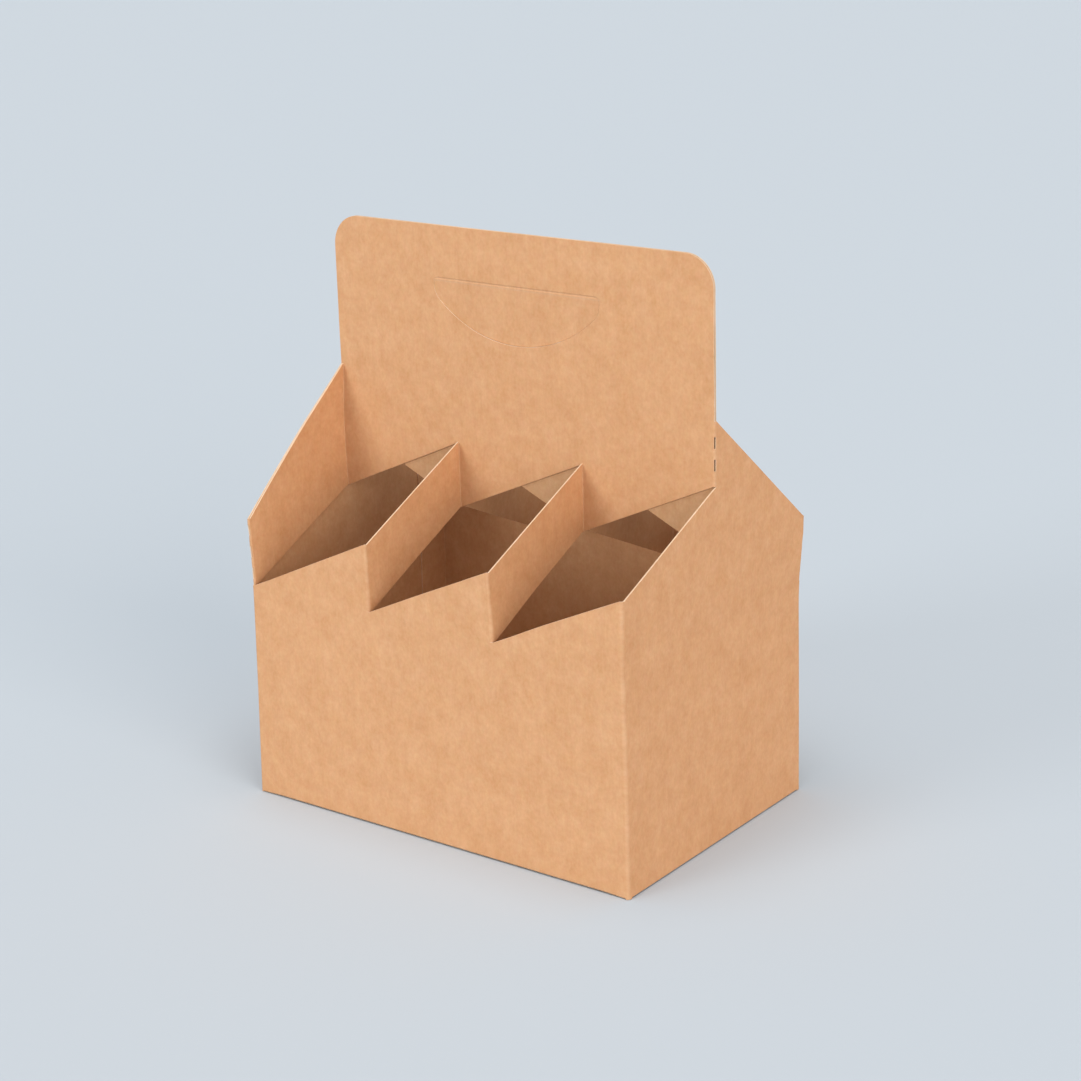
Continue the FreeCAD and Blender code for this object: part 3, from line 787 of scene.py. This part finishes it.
def board_piece(name, sheet, materials, is_tab=False):
    """The object of a sheet once it has settled, with its thickness and its finish."""
    points = [settled(place, is_tab) for place in sheet.points]
    grooves = [crease_groove(place) for place in sheet.points]
    skin = board_skin(sheet, points, grooves)
    mesh = bpy.data.meshes.new(name)
    mesh.from_pydata(skin.vertices, [], skin.faces)
    mesh.shade_smooth()
    for material in materials:
        mesh.materials.append(material)
    mesh.polygons.foreach_set("material_index", skin.sides)
    blank = mesh.uv_layers.new(name="blank")
    blank.data.foreach_set("uv", [value for flat in skin.flats for value in flat])
    creased = mesh.attributes.new("creased", "FLOAT", "POINT")
    # the folds and the hand-hole's pressed line, which the finish paints paler: partly stretched fibres,
    # partly painted highlight
    amounts = [max(crease, groove / CREASE_DEPTH) for crease, (groove, _) in zip(sheet.creased, grooves)]
    amounts = amounts * 2 + [0.0] * (len(skin.vertices) - len(points) * 2)
    creased.data.foreach_set("value", amounts)
    mesh.normals_split_custom_set(skin.normals)
    piece = bpy.data.objects.new(name, mesh)
    bpy.context.scene.collection.objects.link(piece)
    return piece


# ---------------------------------------------------------------- the board's finish
PLAIN = Vector((1.0, 1.0, 1.0))
# size, stretch along the fibres, detail and strength of each layer of blotches
BLOTCHES = ((0.4 * MM, 1.9, 1.0, 0.13), (1.3 * MM, 1.4, 0.0, 0.15), (3.0 * MM, 1.35, 0.0, 0.15),
            (6.5 * MM, 1.3, 0.0, 0.145), (14.0 * MM, 1.2, 0.0, 0.12), (0.9 * MM, 12.0, 0.0, 0.05))
BLOTCH_ROUGHNESS = 0.55
# how much stronger the blotches are in red, green and blue
TONE_CONTRAST = Vector((0.65, 1.06, 1.6))
# size of the blotches that differ in hue, and how much in red, green and blue
HUES = ((0.8 * MM, Vector((0.0, 0.055, 0.11))), (2.6 * MM, Vector((-0.028, 0.028, 0.0))),
        (3.7 * MM, Vector((-0.01, -0.012, 0.032))), (8.5 * MM, Vector((-0.012, -0.006, 0.03))))
HUE_STRETCH, HUE_DETAIL = 1.5, 1.0
# how much paler a fold is than the flat board in red, green and blue: partly its stretched fibres, partly
# painted highlight along the folds and the hand-hole's pressed line
FOLD_PALENESS_AND_HIGHLIGHT = Vector((-0.03, 0.03, 0.12))
# size, stretch along the fibres and detail of the board's relief, and how strongly it shows
PULP_SIZE, PULP_STRETCH, PULP_DETAIL = 0.5 * MM, 2.0, 3.0
PULP_STRENGTH = 0.35
BOARD_SPECULAR = 0.25
# name, colour, roughness and depth of relief of the outer face, the reverse and the cut edges
FINISHES = (("kraft_face", (0.578, 0.307, 0.1535), 0.72, 0.05 * MM),
            ("kraft_reverse", (0.53, 0.30, 0.155), 0.8, 0.08 * MM),
            ("kraft_cut_edge", (0.66, 0.47, 0.32), 0.85, 0.1 * MM))


def new_material(name):
    """A material with its nodes, links and shader."""
    material = bpy.data.materials.new(name)
    material.use_nodes = True
    tree = material.node_tree
    return material, tree, tree.nodes["Principled BSDF"]


def add_node(tree, kind, **values):
    """A node with its properties and its unlinked inputs set."""
    node = tree.nodes.new(kind)
    for key, value in values.items():
        if key in node.inputs:
            node.inputs[key].default_value = value
        else:
            setattr(node, key, value)
    return node


def speckle(tree, place, size, stretch, detail):
    """Blotches of a size on the blank, stretched along the board's fibres."""
    mapping = add_node(tree, "ShaderNodeMapping", Scale=(1 / size, 1 / (size * stretch), 1.0))
    tree.links.new(place, mapping.inputs["Vector"])
    blotches = add_node(tree, "ShaderNodeTexNoise", Scale=1.0, Detail=detail, Roughness=BLOTCH_ROUGHNESS)
    tree.links.new(mapping.outputs["Vector"], blotches.inputs["Vector"])
    return blotches.outputs["Fac"]


def scaled(tree, value, amount, added):
    """A value times an amount, plus something."""
    node = add_node(tree, "ShaderNodeMath", operation="MULTIPLY_ADD")
    tree.links.new(value, node.inputs[0])
    node.inputs[1].default_value = amount
    if isinstance(added, float):
        node.inputs[2].default_value = added
    else:
        tree.links.new(added, node.inputs[2])
    return node.outputs[0]


def product_of(tree, first, second):
    """Two colours multiplied."""
    node = add_node(tree, "ShaderNodeVectorMath", operation="MULTIPLY")
    tree.links.new(first, node.inputs[0])
    tree.links.new(second, node.inputs[1])
    return node.outputs["Vector"]


def blend_of(tree, colour, change, share):
    """A colour that runs from a little less to a little more, by a share from 0 to 1."""
    mix = add_node(tree, "ShaderNodeMix", data_type="RGBA")
    mix.inputs["A"].default_value = (*(colour * (PLAIN - change)), 1.0)
    mix.inputs["B"].default_value = (*(colour * (PLAIN + change)), 1.0)
    tree.links.new(share, mix.inputs["Factor"])
    return mix.outputs["Result"]


def board_material(name, colour, rough, relief):
    """Kraft board: fine blotches of pulp, faint fibres, and folds painted paler, partly for their stretched
    fibres and partly as painted highlight.
    """
    material, tree, shader = new_material(name)
    place = add_node(tree, "ShaderNodeUVMap", uv_map="blank").outputs["UV"]
    total = 0.5 - sum(strength for _, _, _, strength in BLOTCHES) / 2
    for size, stretch, detail, strength in BLOTCHES:
        total = scaled(tree, speckle(tree, place, size, stretch, detail), strength, total)
    tone = blend_of(tree, Vector(colour), TONE_CONTRAST / 2, total)
    crease = add_node(tree, "ShaderNodeAttribute", attribute_name="creased").outputs["Fac"]
    # folds and the hand-hole's pressed line painted paler: partly stretched fibres, partly painted highlight
    fibres = blend_of(tree, PLAIN, FOLD_PALENESS_AND_HIGHLIGHT, scaled(tree, crease, 0.5, 0.5))
    shade = product_of(tree, tone, fibres)
    for size, change in HUES:
        hue = blend_of(tree, PLAIN, change, speckle(tree, place, size, HUE_STRETCH, HUE_DETAIL))
        shade = product_of(tree, shade, hue)
    tree.links.new(shade, shader.inputs["Base Color"])
    shader.inputs["Roughness"].default_value = rough
    shader.inputs["Specular IOR Level"].default_value = BOARD_SPECULAR
    bump = add_node(tree, "ShaderNodeBump", Strength=PULP_STRENGTH, Distance=relief)
    pulp = speckle(tree, place, PULP_SIZE, PULP_STRETCH, PULP_DETAIL)
    tree.links.new(pulp, bump.inputs["Height"])
    tree.links.new(bump.outputs["Normal"], shader.inputs["Normal"])
    return material


# ---------------------------------------------------------------- the pieces
board_finish = [board_material(*finish) for finish in FINISHES]
carrier_sheet = board_piece("folded_sheet", folded_sheet(), board_finish)
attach(carrier_sheet, "carrier")
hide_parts("carrier_blank")
for side, node_name in ((FRONT, "grip_tab_front"), (BACK, "grip_tab_back")):
    tab = board_piece(node_name + "_board", grip_tab(side), board_finish, is_tab=True)
    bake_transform(tab)
    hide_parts(node_name)

# ---------------------------------------------------------------- floor, light and camera
BACKDROP = (0.64, 0.69, 0.737)
FLOOR_COLOUR = (0.494, 0.547, 0.601)
FLOOR_SPAN = 30.0
# just below the carrier, so that no two faces lie in one plane
FLOOR_LEVEL = -0.05 * MM
SKY_STRENGTH = 0.5
# name, angle to the right of the carrier's front, height, strength, softness and colour of each lamp
LAMPS = (("key", -22.0, 10.0, 1.5, 26.0, (0.97, 1.0, 0.98)),
         ("right_softbox", 68.0, 14.0, 2.07, 40.0, (1.0, 0.9, 0.8)),
         ("overhead", 15.0, 80.0, 1.7, 50.0, (1.0, 1.0, 1.0)))
# the direction that the camera looks from and how far it is rolled, in degrees
CAMERA_AZIMUTH, CAMERA_HEIGHT, CAMERA_ROLL = 37.021, 17.758, -1.588
CAMERA_DISTANCE = 1116.052 * MM
# the point that it looks at is this far to the right of and above the Z axis at this level
AIM_ACROSS, AIM_UP = 8.166 * MM, -4.776 * MM
AIM_LEVEL = 130.0 * MM
# the lens and the width of the sensor in millimetres, and how far the camera sees in metres
CAMERA_LENS = 80.94
SENSOR_WIDTH = 36.0
VIEW_LIMIT = 100.0


def floor():
    """A plain pale floor that runs on to the backdrop."""
    half = FLOOR_SPAN / 2
    mesh = bpy.data.meshes.new("floor")
    mesh.from_pydata([(-half, -half, 0), (half, -half, 0), (half, half, 0), (-half, half, 0)], [],
                     [(0, 1, 2, 3)])
    material, _, shader = new_material("pale_floor")
    shader.inputs["Base Color"].default_value = (*FLOOR_COLOUR, 1.0)
    shader.inputs["Roughness"].default_value = 1.0
    shader.inputs["Specular IOR Level"].default_value = 0.0
    mesh.materials.append(material)
    plane = bpy.data.objects.new("floor", mesh)
    plane.location.z = FLOOR_LEVEL
    bpy.context.scene.collection.objects.link(plane)


def world_light(strength):
    """Pale light from all round, and the backdrop that the camera sees."""
    world = bpy.data.worlds.new("studio")
    world.use_nodes = True
    tree = world.node_tree
    shader = tree.nodes["Background"]
    seen = tree.nodes.new("ShaderNodeLightPath").outputs["Is Camera Ray"]
    mix = add_node(tree, "ShaderNodeMix", data_type="RGBA")
    mix.inputs["A"].default_value = (strength, strength, strength, 1.0)
    mix.inputs["B"].default_value = (*BACKDROP, 1.0)
    tree.links.new(seen, mix.inputs["Factor"])
    tree.links.new(mix.outputs["Result"], shader.inputs["Color"])
    bpy.context.scene.world = world


def towards(azimuth, height):
    """The direction at an angle to the right of the carrier's front and at a height, in degrees."""
    across, up = math.radians(azimuth), math.radians(height)
    return Vector((math.sin(across) * math.cos(up), -math.cos(across) * math.cos(up), math.sin(up)))


def lamp(name, azimuth, height, strength, softness, colour):
    """A soft lamp far away: softness is the angle it fills in the sky."""
    light = bpy.data.lights.new(name, "SUN")
    light.color = colour
    light.angle = math.radians(softness)
    light.energy = strength
    placed = bpy.data.objects.new(name, light)
    placed.rotation_euler = towards(azimuth, height).to_track_quat("Z", "Y").to_euler()
    bpy.context.scene.collection.objects.link(placed)


def place_camera():
    """The camera and where it stands."""
    across = math.radians(CAMERA_AZIMUTH)
    back = towards(CAMERA_AZIMUTH, CAMERA_HEIGHT)
    right = Vector((math.cos(across), math.sin(across), 0.0))
    roll = Matrix.Rotation(math.radians(CAMERA_ROLL), 3, back)
    right, up = roll @ right, roll @ back.cross(right)
    aim = Vector((0.0, 0.0, AIM_LEVEL)) + right * AIM_ACROSS + up * AIM_UP
    data = bpy.data.cameras.new("camera")
    data.lens = CAMERA_LENS
    data.sensor_width = SENSOR_WIDTH
    data.clip_end = VIEW_LIMIT
    camera = bpy.data.objects.new("camera", data)
    camera.matrix_world = Matrix((right, up, back)).transposed().to_4x4()
    camera.location = aim + back * CAMERA_DISTANCE
    bpy.context.scene.collection.objects.link(camera)
    bpy.context.scene.camera = camera


floor()
world_light(SKY_STRENGTH)
for row in LAMPS:
    lamp(*row)
place_camera()
bpy.context.scene.view_settings.view_transform = "Standard"
